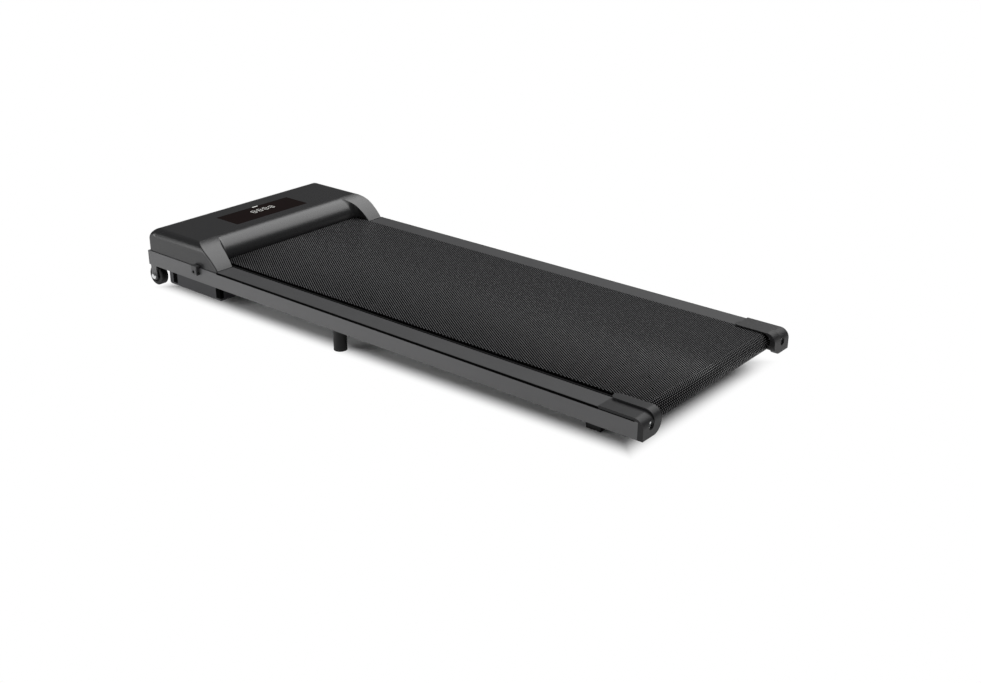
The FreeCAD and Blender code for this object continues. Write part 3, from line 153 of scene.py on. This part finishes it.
def makeFloor():
    mesh = bpy.data.meshes.new("floor")
    shape = bmesh.new()
    bmesh.ops.create_grid(shape, x_segments=1, y_segments=1, size=studio["floorSize"])
    bmesh.ops.translate(shape, verts=shape.verts, vec=(0, 0, -studio["floorDrop"]))
    shape.to_mesh(mesh)
    shape.free()
    floor = bpy.data.objects.new("floor", mesh)
    scene.collection.objects.link(floor)
    # white paper: lit with its real shadow under and beside the pad, and beyond a soft edge
    # plain white to the eye and in gloss
    material, tree, output = newMaterial("white floor paper")
    place = addNode(tree, "ShaderNodeTexCoord")
    shift = studio["shadeShift"]
    moved = addNode(tree, "ShaderNodeVectorMath", {
        0: place.outputs["Object"], 1: (shift, 0, 0)}, operation="SUBTRACT")
    fold = addNode(tree, "ShaderNodeVectorMath", {0: moved.outputs[0]}, operation="ABSOLUTE")
    railSide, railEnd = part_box("right_side_rail")[1][:2]
    sideEdge = railSide + shift - studio["shadeSideInset"]
    endEdge = railEnd - studio["shadeEndInset"]
    past = addNode(tree, "ShaderNodeVectorMath", {
        0: fold.outputs[0], 1: (sideEdge, endEdge, 0)}, operation="SUBTRACT")
    split = addNode(tree, "ShaderNodeSeparateXYZ", {0: past.outputs[0]})
    along = addNode(tree, "ShaderNodeSeparateXYZ", {0: place.outputs["Object"]})
    beside = addNode(tree, "ShaderNodeMath", {
        0: along.outputs["Y"], 1: -studio["shadeTaper"], 2: split.outputs["X"]},
        operation="MULTIPLY_ADD")
    away = addNode(tree, "ShaderNodeMath", {
        0: beside.outputs[0], 1: split.outputs["Y"]}, operation="MAXIMUM")
    plain = addNode(tree, "ShaderNodeMapRange", {
        "Value": away.outputs[0], "From Min": studio["shadeFrom"], "From Max": studio["shadeTo"]},
        interpolation_type="SMOOTHSTEP")
    path = addNode(tree, "ShaderNodeLightPath")
    clear = addNode(tree, "ShaderNodeMath", {
        0: path.outputs["Is Glossy Ray"], 1: path.outputs["Is Transmission Ray"]},
        operation="MAXIMUM")
    shown = addNode(tree, "ShaderNodeMath", {
        0: path.outputs["Is Camera Ray"], 1: clear.outputs[0]}, operation="MAXIMUM")
    share = addNode(tree, "ShaderNodeMath", {
        0: shown.outputs[0], 1: plain.outputs[0]}, operation="MULTIPLY")
    paper = addNode(tree, "ShaderNodeBsdfDiffuse", {"Color": linear(studio["paperColour"])})
    glow = addNode(tree, "ShaderNodeEmission", {
        "Color": (1, 1, 1, 1), "Strength": studio["plainWhite"]})
    mix = addNode(tree, "ShaderNodeMixShader", {
        0: share.outputs[0], 1: paper.outputs[0], 2: glow.outputs[0]})
    tree.links.new(mix.outputs[0], output.inputs["Surface"])
    mesh.materials.append(material)


def makeRoom():
    world = bpy.data.worlds.new("room")
    scene.world = world
    world.use_nodes = True
    tree = world.node_tree
    tree.nodes.clear()
    room = addNode(tree, "ShaderNodeBackground", {
        "Color": (1, 1, 1, 1), "Strength": studio["roomLevel"]})
    addNode(tree, "ShaderNodeOutputWorld", {"Surface": room.outputs[0]})


def softLight(name):
    data = bpy.data.lights.new(name + " softbox", "AREA")
    data.shape = "RECTANGLE"
    data.size, data.size_y = studio[name + "Size"]
    data.energy = studio[name + "Watts"]
    light = bpy.data.objects.new(name + " softbox", data)
    scene.collection.objects.link(light)
    towards = Vector(studio[name + "From"]).normalized()
    light.location = towards * studio[name + "Distance"]
    light.rotation_euler = towards.to_track_quat("Z", "Y").to_euler()


makeFloor()
makeRoom()
for name in ("key", "top", "fill"):
    softLight(name)
print("studio lit")

# what the grained finishes share
grainLook = {
    "blotchDetail": 3.0,
    "grainDetail": 2.0,
    "grainBreakUp": 0.6,
    "noiseLow": 0.3,
    "noiseHigh": 0.7,
    "roughnessSpread": 0.05,
    "bumpStrength": 0.5,
    "ior": 1.5,
}


def grained(name, dark, light, roughness, grainMm, grainDepthMm, blotchMm=60, specular=0.5):
    # moulded, sprayed or rubbery surface: soft large blotches of colour and a fine grain, the
    # grain drawn coarser than the real one where it would be too fine to show
    material, tree, output = newMaterial(name)
    place = addNode(tree, "ShaderNodeTexCoord")
    blotch = addNode(tree, "ShaderNodeTexNoise", {
        "Vector": place.outputs["Object"], "Scale": 1 / (blotchMm * mm),
        "Detail": grainLook["blotchDetail"]})
    colour = addNode(tree, "ShaderNodeMix", {
        0: blotch.outputs["Fac"], 6: linear(dark), 7: linear(light)}, data_type="RGBA")
    grain = addNode(tree, "ShaderNodeTexNoise", {
        "Vector": place.outputs["Object"], "Scale": 1 / (grainMm * mm),
        "Detail": grainLook["grainDetail"], "Roughness": grainLook["grainBreakUp"]})
    rough = addNode(tree, "ShaderNodeMapRange", {
        "Value": grain.outputs["Fac"],
        "From Min": grainLook["noiseLow"], "From Max": grainLook["noiseHigh"],
        "To Min": roughness - grainLook["roughnessSpread"],
        "To Max": roughness + grainLook["roughnessSpread"]})
    bump = addNode(tree, "ShaderNodeBump", {
        "Height": grain.outputs["Fac"], "Distance": grainDepthMm * mm,
        "Strength": grainLook["bumpStrength"]})
    surface = addNode(tree, "ShaderNodeBsdfPrincipled", {
        "Base Color": colour.outputs[2], "Roughness": rough.outputs[0],
        "Normal": bump.outputs[0], "Specular IOR Level": specular, "IOR": grainLook["ior"]})
    tree.links.new(surface.outputs[0], output.inputs["Surface"])
    return material


# what the metals share
metalLook = {
    "scratchDetail": 3.0,
    "scratchDepthMm": 0.02,
    "noiseLow": 0.25,
    "noiseHigh": 0.75,
    "smoother": 0.06,
    "rougher": 0.08,
    "bumpStrength": 0.4,
}


def metal(name, colour, roughness, scratchMm, scratchStretch=(1, 1, 1)):
    # bare or plated metal with fine scratches, drawn out along one axis where it was turned
    material, tree, output = newMaterial(name)
    place = addNode(tree, "ShaderNodeTexCoord")
    stretch = addNode(tree, "ShaderNodeMapping", {
        "Vector": place.outputs["Object"], "Scale": scratchStretch})
    scratch = addNode(tree, "ShaderNodeTexNoise", {
        "Vector": stretch.outputs[0], "Scale": 1 / (scratchMm * mm),
        "Detail": metalLook["scratchDetail"]})
    rough = addNode(tree, "ShaderNodeMapRange", {
        "Value": scratch.outputs["Fac"],
        "From Min": metalLook["noiseLow"], "From Max": metalLook["noiseHigh"],
        "To Min": roughness - metalLook["smoother"],
        "To Max": roughness + metalLook["rougher"]})
    bump = addNode(tree, "ShaderNodeBump", {
        "Height": scratch.outputs["Fac"], "Distance": metalLook["scratchDepthMm"] * mm,
        "Strength": metalLook["bumpStrength"]})
    surface = addNode(tree, "ShaderNodeBsdfPrincipled", {
        "Base Color": linear(colour), "Metallic": 1.0, "Roughness": rough.outputs[0],
        "Normal": bump.outputs[0]})
    tree.links.new(surface.outputs[0], output.inputs["Surface"])
    return material


# moulded ABS of the hood: satin charcoal, with a spark-eroded grain that only softens the gloss
hoodAbs = grained("moulded charcoal ABS", dark="#1f1f20", light="#232324", roughness=0.3,
                  grainMm=0.7, grainDepthMm=0.03)
finishNode(["hood_cover"], hoodAbs)
# matt ABS of the caps: greyer than the hood and nearly without a highlight
capAbs = grained("matt dark grey ABS", dark="#272728", light="#2b2b2c", roughness=0.4,
                 grainMm=0.7, grainDepthMm=0.03, specular=0.18)
finishNode(["rear_end_cap_left", "rear_end_cap_right"], capAbs)
# moulded polypropylene of the pan: plain, dull and slightly waxy
panPlastic = grained("moulded grey polypropylene", dark="#363638", light="#3c3c3e", roughness=0.55,
                     grainMm=0.9, grainDepthMm=0.04, specular=0.2)
finishNode(["belly_pan"], panPlastic)
# moulded nylon of the clips: a lighter grey, so that they stand out on the rail
clipNylon = grained("moulded grey nylon", dark="#484849", light="#4e4e4f", roughness=0.5,
                    grainMm=0.6, grainDepthMm=0.03, specular=0.3)
finishNode(["hood_clip_left", "hood_clip_right"], clipNylon)
# cellular rubber strip: takes in nearly all the light, so it reads as a black line; the same near
# black also colours the strips of painted gap shade further down
blackFoamAndGapShade = grained("black cellular rubber and painted gap shade", dark="#040404", light="#070707", roughness=0.9,
                    grainMm=0.9, grainDepthMm=0.1, specular=0.02)
finishNode(["pan_bumpers"], blackFoamAndGapShade)
# foot rails: extruded sections, matt with a coarse non-slip grain
footRailGrain = grained("non-slip grained extrusion", dark="#373738", light="#404041",
                        roughness=0.6, grainMm=1.6, grainDepthMm=0.12, specular=0.35)
finishNode(["left_foot_rail", "right_foot_rail"], footRailGrain)
# powder coat on steel: satin with a slight orange peel
powderCoat = grained("satin grey powder coat", dark="#525253", light="#585859", roughness=0.42,
                     grainMm=1.1, grainDepthMm=0.02)
finishNode([
    "left_side_rail", "right_side_rail", "front_cross_tube", "deck_cross_member_1",
    "deck_cross_member_2", "deck_cross_member_3", "rear_foot_plate", "motor_mount_plate",
    "motor_cradle", "left_axle_saddle", "right_axle_saddle", "wheel_bracket_left",
    "wheel_bracket_right"], powderCoat)
# moulded nylon of the plugs and switches: black with a soft sheen
blackPlastic = grained("moulded black nylon", dark="#0c0c0c", light="#121212", roughness=0.5,
                       grainMm=0.6, grainDepthMm=0.03)
finishNode([
    "front_rail_plugs", "power_inlet", "power_switch_housing", "power_switch_rocker",
    "overload_reset_body", "overload_reset_button"], blackPlastic)
# moulded rubber: dull black
tyreRubber = grained("moulded black rubber", dark="#0b0b0b", light="#131313", roughness=0.65,
                     grainMm=0.8, grainDepthMm=0.05, specular=0.3)
finishNode([
    "transport_wheel_left", "transport_wheel_right", "mid_foot_left", "mid_foot_right",
    "rear_foot_left", "rear_foot_right", "deck_cushions", "drive_belt"], tyreRubber)
# sprayed enamel on the motor's can: black and fairly glossy
motorEnamel = grained("black motor enamel", dark="#101011", light="#161617", roughness=0.35,
                      grainMm=1.0, grainDepthMm=0.02)
finishNode(["motor_body"], motorEnamel)
# printed solder mask on the boards: deep green, faintly uneven
boardGreen = grained("green solder mask", dark="#0d3a1c", light="#114525", roughness=0.4,
                     grainMm=3.0, grainDepthMm=0.02)
finishNode(["display_board", "controller_board"], boardGreen)
# shrunk sleeve on the capacitors: smooth, near black blue
sleeveBlue = grained("capacitor sleeve", dark="#141726", light="#181c2e", roughness=0.3,
                     grainMm=2.0, grainDepthMm=0.01)
finishNode(["controller_capacitors"], sleeveBlue)
# laminated fibreboard of the deck: black with small cloudy flecks
deckBoard = grained("black laminated fibreboard", dark="#101011", light="#161617", roughness=0.5,
                    grainMm=1.2, grainDepthMm=0.03, blotchMm=9, specular=0.2)
finishNode(["running_deck"], deckBoard)
# turned steel: bright, with fine rings round the axis
turnedSteel = metal("turned steel", colour="#b9b9bb", roughness=0.32, scratchMm=0.6,
                    scratchStretch=(12, 1, 1))
finishNode(["front_roller", "rear_roller", "front_axle", "rear_axle", "motor_shaft"], turnedSteel)
# bright zinc plate on screws and bearings: nearly a mirror, slightly clouded
brightZinc = metal("bright zinc plate", colour="#d6d7d8", roughness=0.2, scratchMm=1.5)
finishNode([
    "deck_screws", "left_tension_bolt", "right_tension_bolt", "wheel_bolt_left",
    "wheel_bolt_right", "front_roller_bearings", "rear_roller_bearings"], brightZinc)
# black oxide on the clip screws: dark metal with a dull glint
blackOxide = metal("black oxide steel", colour="#1c1c1d", roughness=0.4, scratchMm=0.8)
finishNode(["hood_clip_screws"], blackOxide)
# cast aluminium: pale and dull
castAluminium = metal("cast aluminium", colour="#c3c4c6", roughness=0.42, scratchMm=1.2)
finishNode(
    ["front_roller_pulley", "motor_pulley", "heat_sink", "controller_posts"], castAluminium)
print("finishes set")

# running belt: a loop round both rollers; the dots stop short of its left edge, and that edge
# strip is painted darker as painted shade beside the near foot rail
belt = {
    "thickMm": 2,
    "bendSteps": 28,
    "mergeMm": 0.01,
    "dotAcrossMm": 4.8,
    "dotAlongMm": 7.4,
    "dotDepthMm": 0.35,
    "dotBump": 0.5,
    "dotStart": 0.3,
    "dotFull": 0.62,
    "dotSheenColour": "#7f7f80",
    "dotRoughness": 0.24,
    "dotGloss": 0.34,
    "groundColour": "#0c0c0d",
    "groundRoughness": 0.8,
    "shadedEdgeMm": 4,
    "paintedShadeEdgeColour": "#060606",
    "wearMm": 6,
    "wearDetail": 2.0,
    "wearFrom": (0.3, 0.7),
    "wearTo": (0.9, 1.0),
    "ior": 1.5,
}


def beltCover():
    # embossed PVC: dull black ground with a staggered raised dot, polished by use and painted
    # paler as a painted sheen; the UV map gives metres across and along the loop
    material, tree, output = newMaterial("embossed PVC belt cover")
    weave = addNode(tree, "ShaderNodeUVMap", uv_map="weave")
    split = addNode(tree, "ShaderNodeSeparateXYZ", {0: weave.outputs[0]})
    waves = []
    for axis, pitch in (("X", belt["dotAcrossMm"]), ("Y", belt["dotAlongMm"])):
        turns = addNode(tree, "ShaderNodeMath", {
            0: split.outputs[axis], 1: math.tau / (pitch * mm)}, operation="MULTIPLY")
        waves.append(addNode(tree, "ShaderNodeMath", {0: turns.outputs[0]}, operation="COSINE"))
    dots = addNode(tree, "ShaderNodeMath", {
        0: waves[0].outputs[0], 1: waves[1].outputs[0]}, operation="MULTIPLY")
    raised = addNode(tree, "ShaderNodeMapRange", {
        "Value": dots.outputs[0], "From Min": belt["dotStart"], "From Max": belt["dotFull"]},
        interpolation_type="SMOOTHSTEP")
    place = addNode(tree, "ShaderNodeTexCoord")
    wear = addNode(tree, "ShaderNodeTexNoise", {
        "Vector": place.outputs["Object"], "Scale": 1 / (belt["wearMm"] * mm),
        "Detail": belt["wearDetail"]})
    level = addNode(tree, "ShaderNodeMapRange", {
        "Value": wear.outputs["Fac"],
        "From Min": belt["wearFrom"][0], "From Max": belt["wearFrom"][1],
        "To Min": belt["wearTo"][0], "To Max": belt["wearTo"][1]})
    # painted shade: left of this line the dots stop and the ground takes the darker edge colour
    inside = addNode(tree, "ShaderNodeMath", {
        0: split.outputs["X"], 1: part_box("running_belt")[0][0] + belt["shadedEdgeMm"] * mm},
        operation="GREATER_THAN")
    worn = addNode(tree, "ShaderNodeMath", {
        0: raised.outputs[0], 1: level.outputs[0]}, operation="MULTIPLY")
    amount = addNode(tree, "ShaderNodeMath", {
        0: worn.outputs[0], 1: inside.outputs[0]}, operation="MULTIPLY")
    ground = addNode(tree, "ShaderNodeMix", {
        0: inside.outputs[0], 6: linear(belt["paintedShadeEdgeColour"]), 7: linear(belt["groundColour"])},
        data_type="RGBA")
    # painted sheen: the raised dots take a pale grey in place of the black ground
    colour = addNode(tree, "ShaderNodeMix", {
        0: amount.outputs[0], 6: ground.outputs[2], 7: linear(belt["dotSheenColour"])},
        data_type="RGBA")
    rough = addNode(tree, "ShaderNodeMapRange", {
        "Value": amount.outputs[0],
        "To Min": belt["groundRoughness"], "To Max": belt["dotRoughness"]})
    gloss = addNode(tree, "ShaderNodeMath", {
        0: amount.outputs[0], 1: belt["dotGloss"]}, operation="MULTIPLY")
    bump = addNode(tree, "ShaderNodeBump", {
        "Height": amount.outputs[0], "Distance": belt["dotDepthMm"] * mm,
        "Strength": belt["dotBump"]})
    surface = addNode(tree, "ShaderNodeBsdfPrincipled", {
        "Base Color": colour.outputs[2], "Roughness": rough.outputs[0],
        "Normal": bump.outputs[0], "Specular IOR Level": gloss.outputs[0], "IOR": belt["ior"]})
    tree.links.new(surface.outputs[0], output.inputs["Surface"])
    return material


def makeBelt():
    low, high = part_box("running_belt")
    radius = (high[2] - low[2]) / 2
    middle = (high[2] + low[2]) / 2
    rear = low[1] + radius
    front = high[1] - radius
    shape = bmesh.new()
    ends = [shape.verts.new((x, rear, high[2])) for x in (low[0], high[0])]
    edges = [shape.edges.new(ends)]
    # a straight run and a half turn, forward over the top and back underneath
    for run, centre in ((front - rear, front), (rear - front, rear)):
        extruded = bmesh.ops.extrude_edge_only(shape, edges=edges)["geom"]
        moved = [v for v in extruded if isinstance(v, bmesh.types.BMVert)]
        bmesh.ops.translate(shape, verts=moved, vec=(0, run, 0))
        edges = [e for e in extruded if isinstance(e, bmesh.types.BMEdge)]
        bent = bmesh.ops.spin(
            shape, geom=edges, cent=(0, centre, middle), axis=(-1, 0, 0), angle=math.pi,
            steps=belt["bendSteps"])["geom_last"]
        edges = [e for e in bent if isinstance(e, bmesh.types.BMEdge)]
    bmesh.ops.remove_doubles(shape, verts=shape.verts, dist=belt["mergeMm"] * mm)
    bmesh.ops.recalc_face_normals(shape, faces=shape.faces)
    shape.faces.ensure_lookup_table()
    if shape.faces[0].normal.z * (shape.faces[0].calc_center_median().z - middle) < 0:
        bmesh.ops.reverse_faces(shape, faces=shape.faces)
    weave = shape.loops.layers.uv.new("weave")
    flat = front - rear
    bend = math.pi * radius
    for face in shape.faces:
        face.smooth = True
        centre = face.calc_center_median()
        for loop in face.loops:
            point = loop.vert.co
            if centre.y > front:
                along = flat + radius * math.atan2(point.y - front, point.z - middle)
            elif centre.y < rear:
                along = 2 * flat + bend + radius * math.atan2(rear - point.y, middle - point.z)
            elif centre.z > middle:
                along = point.y - rear
            else:
                along = flat + bend + front - point.y
            loop[weave].uv = (point.x, along)
    piece = newPiece("running_belt_cover", shape, beltCover())
    thick = piece.modifiers.new("thickness", "SOLIDIFY")
    thick.thickness = belt["thickMm"] * mm
    thick.offset = -1
    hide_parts("running_belt")


makeBelt()
print("belt woven")

# black strips of the cellular rubber finish on each side, as painted shade where there is only
# shadow: in the shadow gap under the foot rail's lip, outside the lip, at the wing's foot, and
# along the seam between the rail and the rear end cap
gapShadeStrip = {
    "clearMm": 0.05,
    "fillWideMm": 4.5,
    "fillTallMm": 2.2,
    "edgeWideMm": 0.5,
    "edgeTallMm": 4,
    "edgeDropMm": 0.9,
    "footLongMm": 1.6,
    "footTallMm": 0.3,
    "capTallMm": 1.4,
    "capDropMm": 0.6,
    "capEndMm": 16,
}


def makePaintedGapShade():
    shape = bmesh.new()
    clear, fillWide, edgeWide = (
        gapShadeStrip[key] * mm for key in ("clearMm", "fillWideMm", "edgeWideMm"))
    for side in ("left", "right"):
        outer = 0 if side == "left" else 1
        outward = 2 * outer - 1
        cover, rail, cap = (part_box(name) for name in (
            side + "_foot_rail", side + "_side_rail", "rear_end_cap_" + side))
        lip, railFace, railTop = cover[outer][0], rail[outer][0], rail[1][2]
        rear, front, coverTop = cover[0][1], cover[1][1], cover[1][2]
        face = railFace + outward * clear
        proud = face + outward * edgeWide
        # across from and to, along from and to, underside, height
        strips = (
            (lip - outward * fillWide, lip - outward * clear, rear, front,
             railTop + clear, gapShadeStrip["fillTallMm"] * mm),
            (face, proud, rear, front,
             railTop - gapShadeStrip["edgeDropMm"] * mm, gapShadeStrip["edgeTallMm"] * mm),
            (cover[0][0], cover[1][0], front - gapShadeStrip["footLongMm"] * mm, front,
             coverTop + clear, gapShadeStrip["footTallMm"] * mm),
            (face, proud, cap[0][1] + gapShadeStrip["capEndMm"] * mm, rear,
             railTop - gapShadeStrip["capDropMm"] * mm, gapShadeStrip["capTallMm"] * mm))
        # each box is a black strip of painted shade, laid where there is only a shadow gap
        for x0, x1, y0, y1, z, tall in strips:
            made = bmesh.ops.create_cube(shape, size=1)["verts"]
            bmesh.ops.scale(shape, verts=made, vec=(abs(x1 - x0), y1 - y0, tall))
            middle = ((x0 + x1) / 2, (y0 + y1) / 2, z + tall / 2)
            bmesh.ops.translate(shape, verts=made, vec=middle)
    newPiece("foot_rail_painted_gap_shade", shape, blackFoamAndGapShade)


makePaintedGapShade()
print("painted gap shade strips laid")

# display: smoked acrylic lens with four dim seven-segment digits and a bar laid on its face
display = {
    "edgeMm": 0.5,
    "edgeSteps": 3,
    "lensColours": ("#0f0605", "#140807"),
    "lensRoughness": (0.1, 0.2),
    "lensSpecular": 0.03,
    "lensIor": 1.49,
    "hazeMm": 30,
    "hazeDetail": 2.0,
    "digits": 4,
    "digitLiftMm": 0.06,
    "digitTallMm": 14,
    "digitWideMm": 9.5,
    "strokeMm": 1.2,
    "gapMm": 1.2,
    "pitchMm": 15.9,
    "firstX": -0.0191,
    "middleY": 0.511,
    "barX": (-0.0015, 0.013),
    "barY": 0.537,
    "barTallMm": 3,
    "segmentColour": "#6e6e6c",
    "segmentRoughness": 0.4,
    "glowColour": "#c9c9c5",
    "glowStrength": 1.4,
}


def makeDisplay():
    low, high = [Vector(corner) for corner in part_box("display_window")]
    lift = display["digitLiftMm"] * mm
    # polished smoked acrylic: near black with a brown cast and a faint haze
    material, tree, output = newMaterial("smoked acrylic")
    place = addNode(tree, "ShaderNodeTexCoord")
    haze = addNode(tree, "ShaderNodeTexNoise", {
        "Vector": place.outputs["Object"], "Scale": 1 / (display["hazeMm"] * mm),
        "Detail": display["hazeDetail"]})
    smooth, dull = display["lensRoughness"]
    rough = addNode(tree, "ShaderNodeMapRange", {
        "Value": haze.outputs["Fac"], "To Min": smooth, "To Max": dull})
    dark, light = display["lensColours"]
    colour = addNode(tree, "ShaderNodeMix", {
        0: haze.outputs["Fac"], 6: linear(dark), 7: linear(light)}, data_type="RGBA")
    surface = addNode(tree, "ShaderNodeBsdfPrincipled", {
        "Base Color": colour.outputs[2], "Roughness": rough.outputs[0],
        "IOR": display["lensIor"], "Specular IOR Level": display["lensSpecular"]})
    tree.links.new(surface.outputs[0], output.inputs["Surface"])
    shape = bmesh.new()
    bmesh.ops.create_cube(shape, size=1)
    size = high - low - Vector((0, 0, lift))
    bmesh.ops.scale(shape, verts=shape.verts, vec=size)
    bmesh.ops.translate(shape, verts=shape.verts, vec=low + size / 2)
    rim = [e for e in shape.edges if all(v.co.z > low.z + size.z / 2 for v in e.verts)]
    bmesh.ops.bevel(
        shape, geom=rim, offset=display["edgeMm"] * mm, affect="EDGES",
        segments=display["edgeSteps"], profile=0.5, material=-1)
    lens = newPiece("display_lens", shape, material)
    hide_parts("display_window")

    # light-emitting segments seen through the smoke: a soft, dim white
    glow, tree, output = newMaterial("lit display segments")
    lit = addNode(tree, "ShaderNodeBsdfPrincipled", {
        "Base Color": linear(display["segmentColour"]),
        "Roughness": display["segmentRoughness"],
        "Emission Color": linear(display["glowColour"]),
        "Emission Strength": display["glowStrength"]})
    tree.links.new(lit.outputs[0], output.inputs["Surface"])
    shape = bmesh.new()
    tall, wide, stroke, gap, pitch = (
        display[key] * mm for key in (
            "digitTallMm", "digitWideMm", "strokeMm", "gapMm", "pitchMm"))
    flat = [(0, y, wide - stroke - gap, stroke) for y in (-tall / 2, 0, tall / 2)]
    upright = [
        (side * wide / 2, part * tall / 4, stroke, tall / 2 - stroke - gap)
        for side in (-1, 1) for part in (-1, 1)]
    bars = [
        (display["firstX"] + number * pitch + x, display["middleY"] + y, across, along)
        for number in range(display["digits"]) for x, y, across, along in flat + upright]
    left, right = display["barX"]
    bars.append((
        (left + right) / 2, display["barY"], right - left, display["barTallMm"] * mm))
    for x, y, across, along in bars:
        made = bmesh.ops.create_cube(shape, size=1)["verts"]
        bmesh.ops.scale(shape, verts=made, vec=(across, along, lift))
        bmesh.ops.translate(shape, verts=made, vec=(x, y, high.z - lift / 2))
    newPiece("display_digits", shape, glow)


makeDisplay()
print("display lit")
